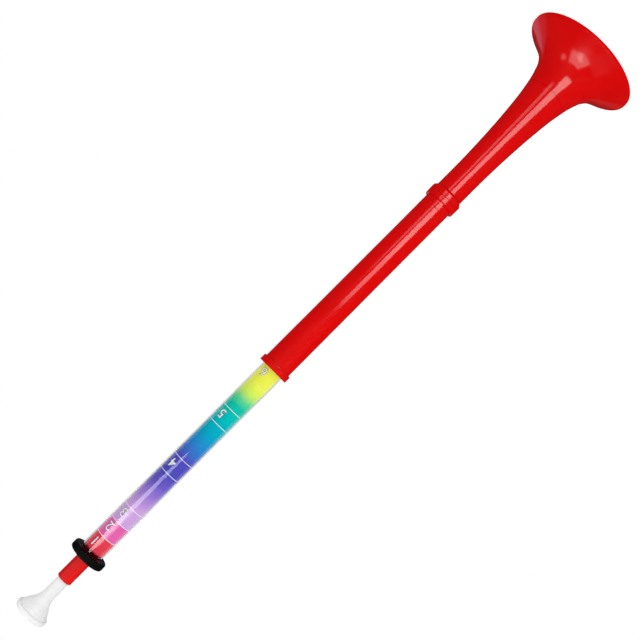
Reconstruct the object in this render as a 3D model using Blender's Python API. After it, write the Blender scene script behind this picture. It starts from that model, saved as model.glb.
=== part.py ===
"""Plastic slide trumpet, standing on its bell with the slide drawn out.

Every piece is turned about one upright axis. Sizes are in metres. Heights are measured from the
bell's rim, which lies in the plane z = 0, up to the mouthpiece.
"""

import math

import bmesh
import bpy

MM = 0.001

# Clearances between neighbours
SEAT_GAP = 0.3 * MM
RUNNING_GAP = 0.3 * MM
STOP_GAP = 0.5 * MM
BUMPER_GAP = 0.5 * MM

# Slide tubes
CLEAR_TUBE_RADIUS = 11.75 * MM
CLEAR_TUBE_WALL = 1.0 * MM
CLEAR_TUBE_LENGTH = 238.2 * MM
STOP_LIP = 0.35 * MM
RED_TUBE_WALL = 1.55 * MM
RED_TUBE_LENGTH = 221.3 * MM

# Bell: how far it still stands out from the tube (1 at the rim, 0 at the tube),
# against how far up the taper that is (0 at the rim, 1 where the taper ends)
BELL_CURVE = (
    (0.0, 1.0),
    (0.043, 0.751),
    (0.092, 0.509),
    (0.153, 0.333),
    (0.214, 0.247),
    (0.336, 0.151),
    (0.518, 0.075),
    (0.759, 0.020),
    (1.0, 0.0),
)
RIM_RADIUS = 59.5 * MM
RIM_EDGE = 2.8 * MM
RIM_CHAMFER = 0.3 * MM
RIM_LIP = 1.7 * MM
TAPER_LENGTH = 161.1 * MM
BELL_WALL = 1.8 * MM
STEM_WALL = 1.6 * MM
FLARE_HEIGHT = 49.8 * MM
STEM_END = 190.7 * MM
SPIGOT_DEPTH = 5.0 * MM
SPIGOT_WALL = 1.3 * MM
FLARE_STEPS = 9
STEM_STEPS = 7
BORE_STEPS = 70
SLOPE_REACH = 0.5 * MM

# Joint collar over the meeting ends of the bell stem and the red tube
JOINT_WALL = 2.0 * MM
JOINT_BELOW = 7.4 * MM
JOINT_ABOVE = 5.6 * MM
JOINT_CONE = 2.2 * MM
JOINT_CONE_WALL = 0.6 * MM
JOINT_RIDGE = 5.4 * MM
JOINT_RIDGE_RISE = 0.15 * MM
JOINT_GROOVE = 0.3 * MM
JOINT_CHAMFER = 0.4 * MM

# End collar on the red tube's mouth, and the guide ring loose inside it
COLLAR_LENGTH = 6.7 * MM
COLLAR_WALL = 1.55 * MM
COLLAR_LIP = 1.7 * MM
COLLAR_CHAMFER = 0.5 * MM
GUIDE_THICKNESS = 2.6 * MM

# Slide head, the sliding guide and stop at the inner slide's lower end
HEAD_LENGTH = 40.0 * MM
HEAD_WALL = 2.2 * MM
HEAD_WEB = 8.0 * MM
HEAD_SPIGOT = 3.2 * MM
HEAD_CHAMFER = 0.8 * MM
SEAL_HEIGHT = 15.0 * MM
SEAL_WIDTH = 2.4 * MM
SEAL_DEPTH = 1.3 * MM
SEAL_CHAMFER = 0.5 * MM
REGISTER_LENGTH = 7.5 * MM
AIRWAY_RADIUS = 6.0 * MM

# Printed scale sleeve and the white liner that it is wrapped round
SLEEVE_RADIUS = 10.4 * MM
SLEEVE_WALL = 0.35 * MM
LINER_WALL = 1.5 * MM

# Black bumper ring
RING_RADIUS = 18.1 * MM
RING_THICKNESS = 7.1 * MM
RING_WEB = 2.6 * MM
RING_ROUNDING = 1.5 * MM

# Mouthpiece receiver
RECEIVER_LENGTH = 30.2 * MM
RECEIVER_WALL = 1.35 * MM
RECEIVER_ROUNDING = 1.3 * MM
DISC_THICKNESS = 2.0 * MM
PLUG_LENGTH = 1.9 * MM
SOCKET_RADIUS = 6.25 * MM
SOCKET_DEPTH = 26.0 * MM

# Mouthpiece
SHANK_TIP_RADIUS = 5.5 * MM
NECK_RADIUS = 6.1 * MM
NECK_HEIGHT = 20.3 * MM
CUP_HEIGHT = 37.2 * MM
CUP_RADIUS = 14.6 * MM
MOUTHPIECE_HEIGHT = 42.7 * MM
MOUTH_RIM_RADIUS = 16.3 * MM
MOUTH_RIM_EDGE = 3.5 * MM
MOUTH_RIM_FLAT = 1.3 * MM
MOUTH_RIM_ROUNDING = 1.2 * MM
BOWL_RADIUS = 12.4 * MM
BOWL_DEPTH = 14.0 * MM
THROAT_RADIUS = 2.4 * MM
THROAT_LENGTH = 5.0 * MM
BACKBORE_RADIUS = 3.9 * MM
CUP_STEPS = 6
BOWL_STEPS = 5
# Share of the cup's swelling reached, against the share of the way from the neck to the rim
CUP_CURVE = (
    (0.0, 0.0),
    (0.21, 0.12),
    (0.42, 0.31),
    (0.63, 0.59),
    (0.83, 0.81),
    (1.0, 1.0),
)

# Facets round each piece
BELL_SIDES = 48
TUBE_SIDES = 36
CORNER_STEPS = 3
SHARP_ANGLE = math.radians(35.0)

# Radii that follow from the sizes above
clear_bore = CLEAR_TUBE_RADIUS - CLEAR_TUBE_WALL
guide_bore = CLEAR_TUBE_RADIUS + RUNNING_GAP
head_radius = guide_bore + STOP_LIP
slide_bore = head_radius + RUNNING_GAP
red_tube_radius = slide_bore + RED_TUBE_WALL
cap_bore = red_tube_radius + SEAT_GAP
spigot_radius = clear_bore - SEAT_GAP
liner_radius = SLEEVE_RADIUS - SLEEVE_WALL - SEAT_GAP
liner_bore = liner_radius - LINER_WALL
register_radius = liner_bore - SEAT_GAP
receiver_radius = SOCKET_RADIUS + RECEIVER_WALL

# Heights that follow from the sizes above
red_tube_bottom = STEM_END + SEAT_GAP
red_tube_top = red_tube_bottom + RED_TUBE_LENGTH
guide_bottom = red_tube_top + SEAT_GAP
lip_bottom = guide_bottom + GUIDE_THICKNESS + SEAT_GAP
collar_top = lip_bottom + COLLAR_LIP
collar_bottom = collar_top - COLLAR_LENGTH
head_top = guide_bottom - STOP_GAP
head_bottom = head_top - HEAD_LENGTH
clear_tube_bottom = head_top + SEAT_GAP
clear_tube_top = clear_tube_bottom + CLEAR_TUBE_LENGTH
label_bottom = head_top + HEAD_SPIGOT + SEAT_GAP
disc_bottom = clear_tube_top + SEAT_GAP
plug_bottom = disc_bottom - PLUG_LENGTH
label_top = plug_bottom - SEAT_GAP
label_length = label_top - label_bottom
disc_top = disc_bottom + DISC_THICKNESS
ring_top = disc_top + SEAT_GAP + RING_WEB
ring_bottom = ring_top - RING_THICKNESS
receiver_top = disc_top + RECEIVER_LENGTH
socket_bottom = receiver_top - SOCKET_DEPTH
shank_bottom = socket_bottom + SEAT_GAP
slide_travel = ring_bottom - collar_top - BUMPER_GAP

RED = (0.78, 0.006, 0.008, 1.0)
WHITE = (0.82, 0.82, 0.83, 1.0)
BLACK = (0.012, 0.012, 0.012, 1.0)
CLEAR = (0.90, 0.93, 0.94, 1.0)
LABEL = (0.35, 0.25, 0.75, 1.0)
GREY = (0.35, 0.36, 0.38, 1.0)


def clear_scene():
    """Remove every object that the file holds."""
    for thing in list(bpy.data.objects):
        bpy.data.objects.remove(thing)


def plastic(name, colour, roughness, transmission=0.0):
    """Make a Principled material of one moulded plastic."""
    material = bpy.data.materials.new(name)
    material.use_nodes = True
    shader = material.node_tree.nodes["Principled BSDF"]
    shader.inputs["Base Color"].default_value = colour
    shader.inputs["Roughness"].default_value = roughness
    shader.inputs["Metallic"].default_value = 0.0
    shader.inputs["Transmission Weight"].default_value = transmission
    return material


def origin_marker(name, height):
    """Add an empty on the axis, which carries the pieces that move together."""
    marker = bpy.data.objects.new(name, None)
    marker.location = (0.0, 0.0, height)
    bpy.context.scene.collection.objects.link(marker)
    return marker


def turn(name, outline, base, material, sides, carrier):
    """Spin a closed outline of (radius, height above the base) into one solid on the axis."""
    form = bmesh.new()
    points = [form.verts.new((radius, 0.0, height)) for radius, height in outline]
    edges = [form.edges.new((points[i - 1], points[i])) for i in range(len(points))]
    bmesh.ops.spin(
        form,
        geom=points + edges,
        cent=(0.0, 0.0, 0.0),
        axis=(0.0, 0.0, 1.0),
        angle=2.0 * math.pi,
        steps=sides,
        use_merge=True,
    )
    bmesh.ops.recalc_face_normals(form, faces=form.faces)
    mesh = bpy.data.meshes.new(name)
    form.to_mesh(mesh)
    form.free()
    mesh.shade_smooth()
    mesh.set_sharp_from_angle(angle=SHARP_ANGLE)
    mesh.materials.append(material)
    piece = bpy.data.objects.new(name, mesh)
    piece.parent = carrier
    piece.location = (0.0, 0.0, base - carrier.location.z)
    bpy.context.scene.collection.objects.link(piece)
    return piece


def slopes(knots):
    """Slope of a smooth curve at each knot, level at the last one."""
    chords = [(b[1] - a[1]) / (b[0] - a[0]) for a, b in zip(knots, knots[1:])]
    widths = [b[0] - a[0] for a, b in zip(knots, knots[1:])]
    inner = [
        (chords[i] * widths[i + 1] + chords[i + 1] * widths[i]) / (widths[i] + widths[i + 1])
        for i in range(len(chords) - 1)
    ]
    return [chords[0]] + inner + [0.0]


def smooth_value(knots, x):
    """Value at x of the smooth curve through the knots, held constant past the last knot."""
    if x >= knots[-1][0]:
        return knots[-1][1]
    i = max(k for k in range(len(knots) - 1) if knots[k][0] <= x or k == 0)
    width = knots[i + 1][0] - knots[i][0]
    t = (x - knots[i][0]) / width
    bends = slopes(knots)
    rise_start = (1.0 + 2.0 * t) * (1.0 - t) ** 2 * knots[i][1]
    rise_end = t * t * (3.0 - 2.0 * t) * knots[i + 1][1]
    bend_start = t * (1.0 - t) ** 2 * width * bends[i]
    bend_end = t * t * (t - 1.0) * width * bends[i + 1]
    return rise_start + rise_end + bend_start + bend_end


def corner(centre, radius, start, end):
    """Points of a rounded corner, from the start angle to the end angle in degrees."""
    points = []
    for step in range(CORNER_STEPS + 1):
        angle = math.radians(start + (end - start) * step / CORNER_STEPS)
        points.append((centre[0] + radius * math.cos(angle), centre[1] + radius * math.sin(angle)))
    return points


def spaced(start, end, steps):
    """Evenly spaced values from start to end."""
    return [start + (end - start) * step / steps for step in range(steps + 1)]


def crowded(start, end, steps):
    """Values from start to end, closer together near the start."""
    return [start + (end - start) * share * math.sqrt(share) for share in spaced(0.0, 1.0, steps)]


def bell_radius(height):
    """Outer radius of the bell at a height above its rim."""
    share = smooth_value(BELL_CURVE, (height - RIM_EDGE) / TAPER_LENGTH)
    return red_tube_radius + (RIM_RADIUS - red_tube_radius) * share


def bell_inside(height, wall):
    """Point one wall thickness inside the bell's outer surface, as (radius, height)."""
    slope = (bell_radius(height + SLOPE_REACH) - bell_radius(height)) / SLOPE_REACH
    length = math.hypot(1.0, slope)
    return bell_radius(height) - wall / length, height + wall * slope / length


def stem_inside(height):
    """Inner radius of the bell stem, never tighter than the bore that the slide runs in."""
    return max(bell_radius(height) - STEM_WALL, slide_bore)


def make_bell_flare(material, carrier):
    heights = crowded(RIM_EDGE, FLARE_HEIGHT, FLARE_STEPS)
    lip_radius = RIM_RADIUS - RIM_LIP
    outline = [(lip_radius, 0.0), (RIM_RADIUS - RIM_CHAMFER, 0.0), (RIM_RADIUS, RIM_CHAMFER)]
    outline += [(bell_radius(height), height) for height in heights]
    inside = [bell_inside(height, BELL_WALL) for height in heights[1:-1]]
    top_radius = bell_inside(FLARE_HEIGHT, BELL_WALL)[0]
    outline.append((top_radius, FLARE_HEIGHT))
    outline += reversed(inside)
    turn("bell_flare", outline, 0.0, material, BELL_SIDES, carrier)


def make_bell_stem(material, carrier):
    base = FLARE_HEIGHT - SPIGOT_DEPTH
    shoulder = FLARE_HEIGHT + SEAT_GAP
    taper_end = RIM_EDGE + TAPER_LENGTH
    spigot_outside = bell_inside(FLARE_HEIGHT, BELL_WALL)[0] - SEAT_GAP
    spigot_inside = spigot_outside - SPIGOT_WALL
    heights = spaced(shoulder, taper_end, STEM_STEPS)
    outline = [(spigot_inside, base), (spigot_outside, base), (spigot_outside, shoulder)]
    outline += [(bell_radius(height), height) for height in heights]
    outline += [(red_tube_radius, STEM_END), (slide_bore, STEM_END)]
    fine_heights = spaced(shoulder, taper_end, BORE_STEPS)
    bore_start = next(height for height in fine_heights if stem_inside(height) == slide_bore)
    bore_heights = [height for height in heights[1:] if height < bore_start]
    outline.append((slide_bore, bore_start))
    outline += [(min(stem_inside(height), spigot_inside), height) for height in reversed(bore_heights)]
    local = [(radius, height - base) for radius, height in outline]
    turn("bell_stem", local, base, material, TUBE_SIDES, carrier)


def make_joint_collar(material, carrier):
    band = cap_bore + JOINT_WALL
    ridge = band + JOINT_RIDGE_RISE
    length = JOINT_BELOW + JOINT_ABOVE
    groove = JOINT_CONE + JOINT_RIDGE
    outline = [
        (cap_bore, 0.0),
        (cap_bore + JOINT_CONE_WALL, 0.0),
        (ridge, JOINT_CONE),
        (ridge, groove - JOINT_GROOVE),
        (band - JOINT_GROOVE, groove),
        (band, groove + JOINT_GROOVE),
        (band, length - JOINT_CHAMFER),
        (band - JOINT_CHAMFER, length),
        (cap_bore, length),
    ]
    turn("joint_collar", outline, STEM_END - JOINT_BELOW, material, TUBE_SIDES, carrier)


def make_tube(name, outside, wall, length, base, material, carrier):
    outline = [(outside - wall, 0.0), (outside, 0.0), (outside, length), (outside - wall, length)]
    turn(name, outline, base, material, TUBE_SIDES, carrier)


def make_end_collar(material, carrier):
    outside = cap_bore + COLLAR_WALL
    lip_height = COLLAR_LENGTH - COLLAR_LIP
    outline = [
        (cap_bore, 0.0),
        (outside - COLLAR_CHAMFER, 0.0),
        (outside, COLLAR_CHAMFER),
        (outside, COLLAR_LENGTH),
        (guide_bore, COLLAR_LENGTH),
        (guide_bore, lip_height),
        (cap_bore, lip_height),
    ]
    turn("end_collar", outline, collar_bottom, material, TUBE_SIDES, carrier)


def make_slide_head(material, carrier):
    groove_bottom = SEAL_HEIGHT - SEAT_GAP
    groove_top = SEAL_HEIGHT + SEAL_WIDTH + SEAT_GAP
    groove_radius = head_radius - SEAL_DEPTH
    cup_radius = head_radius - HEAD_WALL
    spigot_top = HEAD_LENGTH + HEAD_SPIGOT
    outline = [
        (cup_radius, 0.0),
        (head_radius - HEAD_CHAMFER, 0.0),
        (head_radius, HEAD_CHAMFER),
        (head_radius, groove_bottom),
        (groove_radius, groove_bottom),
        (groove_radius, groove_top),
        (head_radius, groove_top),
        (head_radius, HEAD_LENGTH),
        (spigot_radius, HEAD_LENGTH),
        (spigot_radius, spigot_top),
        (register_radius, spigot_top),
        (register_radius, spigot_top + REGISTER_LENGTH),
        (AIRWAY_RADIUS, spigot_top + REGISTER_LENGTH),
        (AIRWAY_RADIUS, HEAD_LENGTH - HEAD_WEB),
        (cup_radius, HEAD_LENGTH - HEAD_WEB - (cup_radius - AIRWAY_RADIUS)),
    ]
    turn("slide_head", outline, head_bottom, material, TUBE_SIDES, carrier)


def make_slide_seal(material, carrier):
    inside = head_radius - SEAL_DEPTH + SEAT_GAP
    outline = [
        (inside, 0.0),
        (head_radius - SEAL_CHAMFER, 0.0),
        (head_radius, SEAL_CHAMFER),
        (head_radius, SEAL_WIDTH - SEAL_CHAMFER),
        (head_radius - SEAL_CHAMFER, SEAL_WIDTH),
        (inside, SEAL_WIDTH),
    ]
    turn("slide_seal", outline, head_bottom + SEAL_HEIGHT, material, TUBE_SIDES, carrier)


def make_bumper_ring(material, carrier):
    tube_hole = CLEAR_TUBE_RADIUS + SEAT_GAP
    receiver_hole = receiver_radius + SEAT_GAP
    web_height = RING_THICKNESS - RING_WEB
    centre_radius = RING_RADIUS - RING_ROUNDING
    outline = [(receiver_hole, web_height), (tube_hole, web_height), (tube_hole, 0.0)]
    outline += corner((centre_radius, RING_ROUNDING), RING_ROUNDING, -90.0, 0.0)
    outline += corner((centre_radius, RING_THICKNESS - RING_ROUNDING), RING_ROUNDING, 0.0, 90.0)
    outline.append((receiver_hole, RING_THICKNESS))
    turn("bumper_ring", outline, ring_bottom, material, TUBE_SIDES, carrier)


def make_receiver(material, carrier):
    base = plug_bottom - REGISTER_LENGTH
    top = receiver_top - base
    floor = socket_bottom - base
    outline = [
        (AIRWAY_RADIUS, 0.0),
        (register_radius, 0.0),
        (register_radius, plug_bottom - base),
        (spigot_radius, plug_bottom - base),
        (spigot_radius, disc_bottom - base),
        (CLEAR_TUBE_RADIUS, disc_bottom - base),
        (CLEAR_TUBE_RADIUS, disc_top - base),
        (receiver_radius, disc_top - base),
    ]
    rounding_centre = (receiver_radius - RECEIVER_ROUNDING, top - RECEIVER_ROUNDING)
    outline += corner(rounding_centre, RECEIVER_ROUNDING, 0.0, 90.0)
    outline += [
        (SOCKET_RADIUS, top),
        (SOCKET_RADIUS, floor),
        (BACKBORE_RADIUS, floor),
        (BACKBORE_RADIUS, disc_top - base),
        (AIRWAY_RADIUS, disc_bottom - base),
    ]
    turn("mouthpiece_receiver", outline, base, material, TUBE_SIDES, carrier)


def make_mouthpiece(material, carrier):
    base = shank_bottom
    neck = receiver_top + NECK_HEIGHT - base
    cup = receiver_top + CUP_HEIGHT - base
    top = receiver_top + MOUTHPIECE_HEIGHT - base
    mouth = receiver_top - base
    rim_bottom = top - MOUTH_RIM_ROUNDING - MOUTH_RIM_EDGE
    bowl_bottom = top - BOWL_DEPTH
    outline = [
        (BACKBORE_RADIUS - SEAT_GAP, 0.0),
        (SHANK_TIP_RADIUS, 0.0),
        (SOCKET_RADIUS - SEAT_GAP, mouth),
    ]
    for share in spaced(0.0, 1.0, CUP_STEPS):
        swelling = smooth_value(CUP_CURVE, share)
        outline.append((NECK_RADIUS + (CUP_RADIUS - NECK_RADIUS) * swelling, neck + (cup - neck) * share))
    outline.append((MOUTH_RIM_RADIUS, rim_bottom))
    rounding_centre = (MOUTH_RIM_RADIUS - MOUTH_RIM_ROUNDING, top - MOUTH_RIM_ROUNDING)
    outline += corner(rounding_centre, MOUTH_RIM_ROUNDING, 0.0, 90.0)
    outline.append((rounding_centre[0] - MOUTH_RIM_FLAT, top))
    for step in range(BOWL_STEPS + 1):
        angle = math.radians(90.0 * step / BOWL_STEPS)
        reach = THROAT_RADIUS + (BOWL_RADIUS - THROAT_RADIUS) * math.cos(angle)
        depth = MOUTH_RIM_ROUNDING + (BOWL_DEPTH - MOUTH_RIM_ROUNDING) * math.sin(angle)
        outline.append((reach, top - depth))
    outline.append((THROAT_RADIUS, bowl_bottom - THROAT_LENGTH))
    turn("mouthpiece", outline, base, material, TUBE_SIDES, carrier)


def main():
    clear_scene()
    red = plastic("red_gloss_plastic", RED, 0.22)
    white = plastic("white_gloss_plastic", WHITE, 0.30)
    black = plastic("black_rubber", BLACK, 0.45)
    clear = plastic("clear_plastic", CLEAR, 0.05, transmission=0.9)
    label = plastic("printed_film", LABEL, 0.40)
    grey = plastic("grey_guide_plastic", GREY, 0.50)

    outer = origin_marker("outer_slide_origin", 0.0)
    inner = origin_marker("inner_slide_origin", head_bottom)
    removable = origin_marker("mouthpiece_origin", receiver_top)

    make_bell_flare(red, outer)
    make_bell_stem(red, outer)
    make_joint_collar(red, outer)
    make_tube("outer_slide_tube", red_tube_radius, RED_TUBE_WALL, RED_TUBE_LENGTH, red_tube_bottom,
              red, outer)
    make_end_collar(red, outer)
    make_tube("guide_ring", red_tube_radius, red_tube_radius - guide_bore, GUIDE_THICKNESS,
              guide_bottom, grey, outer)

    make_slide_head(grey, inner)
    make_slide_seal(black, inner)
    make_tube("clear_slide_tube", CLEAR_TUBE_RADIUS, CLEAR_TUBE_WALL, CLEAR_TUBE_LENGTH, clear_tube_bottom,
              clear, inner)
    make_tube("scale_sleeve", SLEEVE_RADIUS, SLEEVE_WALL, label_length, label_bottom, label, inner)
    make_tube("airway_liner", liner_radius, LINER_WALL, label_length, label_bottom, white, inner)
    make_bumper_ring(black, inner)
    make_receiver(red, inner)

    make_mouthpiece(white, removable)
    print("slide travel in mm:", round(slide_travel / MM, 2))


if __name__ == "__main__":
    main()
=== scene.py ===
"""Looks of a child's plastic slide trumpet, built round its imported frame.

The frame stands on its bell: z = 0 is the plane of the bell's rim and +Z runs up the tube to the
mouthpiece. The slide is drawn out. Lengths are in metres.
"""

import math
from collections import namedtuple

import bmesh
import bpy
from mathutils import Matrix, Vector


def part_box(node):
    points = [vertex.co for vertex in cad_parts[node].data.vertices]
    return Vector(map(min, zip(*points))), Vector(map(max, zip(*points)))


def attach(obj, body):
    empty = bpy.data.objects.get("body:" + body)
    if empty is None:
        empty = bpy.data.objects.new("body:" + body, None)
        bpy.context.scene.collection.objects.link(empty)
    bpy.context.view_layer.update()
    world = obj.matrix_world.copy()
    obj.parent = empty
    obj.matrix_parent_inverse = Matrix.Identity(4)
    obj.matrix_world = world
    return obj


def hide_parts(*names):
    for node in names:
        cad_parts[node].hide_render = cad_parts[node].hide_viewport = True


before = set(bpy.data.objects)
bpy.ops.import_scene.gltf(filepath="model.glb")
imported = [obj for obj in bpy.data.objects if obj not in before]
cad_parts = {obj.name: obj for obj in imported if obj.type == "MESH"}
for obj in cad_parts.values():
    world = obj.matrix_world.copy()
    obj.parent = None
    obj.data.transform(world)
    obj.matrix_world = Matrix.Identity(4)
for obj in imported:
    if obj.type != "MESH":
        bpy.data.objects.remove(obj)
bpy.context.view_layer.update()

bl_info = {
    "name": "Slide Trumpet Looks",
    "version": (1, 0, 0),
    "blender": (4, 5, 0),
    "location": "3D View > Sidebar > Trumpet",
    "description": "Builds the fine surfaces, finishes and stage of a plastic slide trumpet",
    "category": "Object",
}

MM = 0.001


def reach(node):
    """Outer radius, lowest and highest height of a CAD node."""
    low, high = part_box(node)
    return high.x, low.z, high.z


# Outer radii and heights that the frame gives
RIM_RADIUS, RIM_FOOT, FLARE_TOP = reach("bell_flare")
STEM_FOOT, STEM_TOP = reach("bell_stem")[1:]
RIDGE_RADIUS, JOINT_FOOT, JOINT_TOP = reach("joint_collar")
TUBE_RADIUS, TUBE_FOOT, TUBE_TOP = reach("outer_slide_tube")
COLLAR_RADIUS, COLLAR_FOOT, COLLAR_TOP = reach("end_collar")
HEAD_RADIUS, HEAD_FOOT, HEAD_TOP = reach("slide_head")
SEAL_RADIUS, SEAL_FOOT, SEAL_TOP = reach("slide_seal")
CLEAR_RADIUS, CLEAR_FOOT, CLEAR_TOP = reach("clear_slide_tube")
FILM_RADIUS, FILM_FOOT, FILM_TOP = reach("scale_sleeve")
RING_RADIUS, RING_FOOT, RING_TOP = reach("bumper_ring")
DISC_RADIUS, PLUG_FOOT, RECEIVER_TOP = reach("mouthpiece_receiver")
MOUTH_RADIUS, SHANK_FOOT, MOUTH_TOP = reach("mouthpiece")

# Clearances and walls of the moulded pieces
SEAT_GAP = 0.3 * MM
RUNNING_GAP = 0.3 * MM
SLIDE_BORE = HEAD_RADIUS + RUNNING_GAP
CAP_GAP = 0.05 * MM
CAP_BORE = TUBE_RADIUS + CAP_GAP
CLEAR_WALL = 1.0 * MM
CLEAR_BORE = CLEAR_RADIUS - CLEAR_WALL
SPIGOT_RADIUS = CLEAR_BORE - SEAT_GAP
LINER_WALL = 1.5 * MM
REGISTER_RADIUS = reach("airway_liner")[0] - LINER_WALL - SEAT_GAP
AIRWAY_RADIUS = 6.0 * MM

# Bell: how far it still stands out from the tube (1 at the rim, 0 at the tube),
# against how far up the taper that is (0 at the rim, 1 where the taper ends)
BELL_CURVE = (
    (0.0, 1.0),
    (0.043, 0.751),
    (0.092, 0.509),
    (0.153, 0.333),
    (0.214, 0.247),
    (0.336, 0.151),
    (0.518, 0.075),
    (0.759, 0.020),
    (1.0, 0.0),
)
RIM_EDGE = 2.8 * MM
RIM_LIP = 1.7 * MM
TAPER_LENGTH = 161.1 * MM
BELL_WALL = 1.8 * MM
STEM_WALL = 1.6 * MM
BELL_SPIGOT_WALL = 1.3 * MM
# Height over which the bell's slope is read
SLOPE_REACH = 0.5 * MM
# How far the flare's shell reaches into the seam under the stem
SEAM_REACH = 0.1 * MM

# Joint collar, in heights above its foot
JOINT_BAND_RADIUS = RIDGE_RADIUS - 0.15 * MM
JOINT_CONE_RADIUS = CAP_BORE + 0.6 * MM
JOINT_CONE_TOP = 2.2 * MM
JOINT_RIDGE_TOP = 7.3 * MM
JOINT_GROOVE_DEPTH = 0.5 * MM
JOINT_GROOVE_TOP = 7.9 * MM

# Witness line of the mould on the red tube
WITNESS_HEIGHT = 203.9 * MM
WITNESS_DEPTH = 0.2 * MM
WITNESS_WIDTH = 0.6 * MM

# End collar
COLLAR_LIP = 1.7 * MM
COLLAR_CHAMFER = 0.5 * MM
LIP_BORE = CLEAR_RADIUS + RUNNING_GAP

# Slide head and its seal
HEAD_WALL = 2.2 * MM
HEAD_CHAMFER = 0.8 * MM
HEAD_LENGTH = 40.0 * MM
HEAD_WEB = 8.0 * MM
HEAD_SPIGOT = 3.2 * MM
SEAL_DEPTH = 1.3 * MM
SEAL_CHAMFER = 0.5 * MM

# Bumper ring
RING_WEB = 2.6 * MM
RING_ROUNDING = 1.6 * MM

# Mouthpiece receiver
RECEIVER_RADIUS = 7.6 * MM
RECEIVER_ROUNDING = 1.3 * MM
SOCKET_RADIUS = 6.25 * MM
PLUG_TOP = 649.0 * MM
DISC_THICKNESS = 2.0 * MM
DISC_FOOT = CLEAR_TOP + SEAT_GAP
DISC_TOP = DISC_FOOT + DISC_THICKNESS
BACKBORE_RADIUS = 3.9 * MM

# Mouthpiece, with heights measured down from its rim
SHANK_TIP_RADIUS = 5.5 * MM
NECK_RADIUS = 6.1 * MM
NECK_DEPTH = 22.4 * MM
CUP_DEPTH = 5.5 * MM
CUP_RADIUS = 14.6 * MM
BAND_DEPTH = 4.7 * MM
BAND_FOOT_RADIUS = CUP_RADIUS + 0.2 * MM
RIM_FLAT = 1.3 * MM
RIM_ROUNDING = 1.5 * MM
BOWL_RADIUS = 12.4 * MM
BOWL_DEPTH = 14.0 * MM
THROAT_RADIUS = 2.4 * MM
THROAT_DEPTH = 19.0 * MM
# Share of the cup's swelling reached, against the share of the way from the neck to the rim
CUP_CURVE = (
    (0.0, 0.0),
    (0.21, 0.12),
    (0.42, 0.31),
    (0.63, 0.59),
    (0.83, 0.81),
    (1.0, 1.0),
)

# White plastic: the share of its light that it scatters inside it, and how far that spreads
GLOW_WEIGHT = 0.6
GLOW_DEPTH = 6.0 * MM

# Clear plastic: its index of refraction, and how its wall fades where it is seen edge-on, from
# which tilt, to which tilt and by how much
ACRYLIC_IOR = 1.49
FADE_START = 0.55
FADE_END = 0.9
FADE_SHARE = 0.85

# Printed scale: the heights of its white lines with how fully each one covers the film, and its
# numerals from the mouthpiece down
LINES = tuple((h * MM, 0.9) for h in (629.4, 611.6, 594.5, 549.9, 531.8, 487.1, 469.1))
LINES += ((436.4 * MM, 0.3),)
NUMERAL_HEIGHTS = tuple(h * MM for h in (637.1, 619.1, 601.5, 539.9, 477.1, 424.0))
# Foot of the lilac, pink and red fields, and how far the soft rainbow below it wanders
FIELDS_FOOT = LINES[2][0]
WASH_REACH = 9.0 * MM
# How much bolder than the bare letter a numeral's shadow and its face are, as shares of its size
SHADOW_WEIGHT = 0.034
FACE_WEIGHT = 0.004


def display(red, green, blue):
    """Scene colour of a display colour whose channels run from 0 to 255."""
    channels = []
    for value in (red, green, blue):
        share = value / 255.0
        channels.append(share / 12.92 if share <= 0.04045 else ((share + 0.055) / 1.055) ** 2.4)
    return tuple(channels)


# Inks of the printed film, and two dark tones of painted shade for its end by the bumper ring
LEMON = display(250, 255, 85)
LIME = display(220, 250, 100)
MINT = display(100, 225, 155)
SEA_GREEN = display(20, 205, 175)
TURQUOISE = display(0, 195, 195)
SKY = display(10, 170, 210)
AZURE = display(45, 135, 215)
INDIGO = display(85, 80, 195)
VIOLET = display(115, 95, 205)
ORCHID = display(165, 130, 220)
LILAC = display(215, 170, 230)
PINK = display(240, 105, 180)
ROSE = display(240, 65, 85)
PAINTED_SHADE_RED = display(95, 0, 8)
PAINTED_SHADE_BLACK = display(30, 4, 4)

# Rainbow of the printed film: (height in mm, ink), from the red tube up to the mouthpiece; the last
# two stops hold painted shade instead of ink
RAINBOW = (
    (436.0, LEMON),
    (446.0, LIME),
    (455.0, MINT),
    (463.0, SEA_GREEN),
    (480.0, TURQUOISE),
    (500.0, SKY),
    (516.0, AZURE),
    (530.0, INDIGO),
    (548.0, INDIGO),
    (562.0, VIOLET),
    (577.0, ORCHID),
    (592.0, LILAC),
    (611.4, LILAC),
    (611.8, PINK),
    (629.2, PINK),
    (629.6, ROSE),
    (644.9, ROSE),
    # Painted shade: over its last few millimetres by the bumper ring the film turns dark red, then
    # near black
    (645.2, PAINTED_SHADE_RED),
    (648.4, PAINTED_SHADE_BLACK),
)


class TrumpetForm(bpy.types.PropertyGroup):
    """Fineness and roundings of the turned pieces."""

    sides: bpy.props.IntProperty(
        name="Facets Round",
        description="Facets round each turned piece",
        default=144,
        min=24,
        max=512,
    )
    bell_steps: bpy.props.IntProperty(
        name="Bell Steps",
        description="Steps along the bell's curve",
        default=64,
        min=8,
        max=200,
    )
    fillet_steps: bpy.props.IntProperty(
        name="Fillet Steps",
        description="Steps round each rounded corner",
        default=5,
        min=1,
        max=16,
    )
    edge_rounding: bpy.props.FloatProperty(
        name="Edge Rounding",
        description="Radius that a moulded edge is rounded to",
        default=0.25 * MM,
        min=0.0,
        unit="LENGTH",
    )
    numeral_height: bpy.props.FloatProperty(
        name="Numeral Height",
        description="Height of the printed numerals",
        default=8.6 * MM,
        min=1.0 * MM,
        unit="LENGTH",
    )
    numeral_angle: bpy.props.FloatProperty(
        name="Numeral Angle",
        description="Place of the numerals round the tube, turned from the front",
        default=math.radians(28.0),
        subtype="ANGLE",
        unit="ROTATION",
    )
    line_width: bpy.props.FloatProperty(
        name="Line Width",
        description="Width of the scale's white lines",
        default=0.55 * MM,
        min=0.1 * MM,
        unit="LENGTH",
    )


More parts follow.
